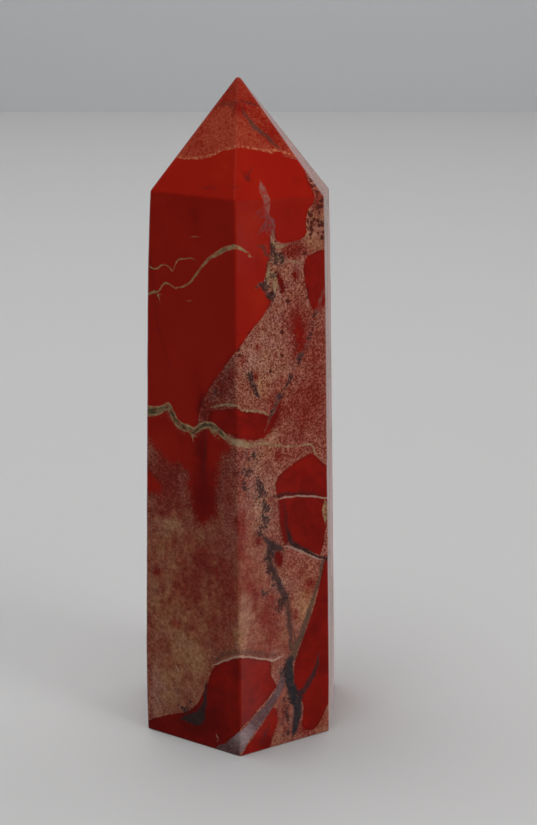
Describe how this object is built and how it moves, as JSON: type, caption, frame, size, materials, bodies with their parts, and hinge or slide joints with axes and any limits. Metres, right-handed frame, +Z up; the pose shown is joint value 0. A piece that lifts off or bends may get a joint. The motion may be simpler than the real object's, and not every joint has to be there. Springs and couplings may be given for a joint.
{
  "type": "brecciated jasper tower",
  "caption": "Polished tower of brecciated jasper: a slightly tapering hexagonal column ground to a point, standing on its flat sawn base as a display stone.",
  "frame": {"origin": "foot of the column's axis, near the middle of the flat base the stone stands on", "axes": "+Z up along the column towards the tip; -Y towards the long edge that faces the viewer; +X to that viewer's right"},
  "size_m": [0.0268, 0.0299, 0.09],
  "materials": {
    "jasper": "polished"
  },
  "bodies": {
    "root": {"jasper_tower": "jasper"}
  },
  "joints": []
}
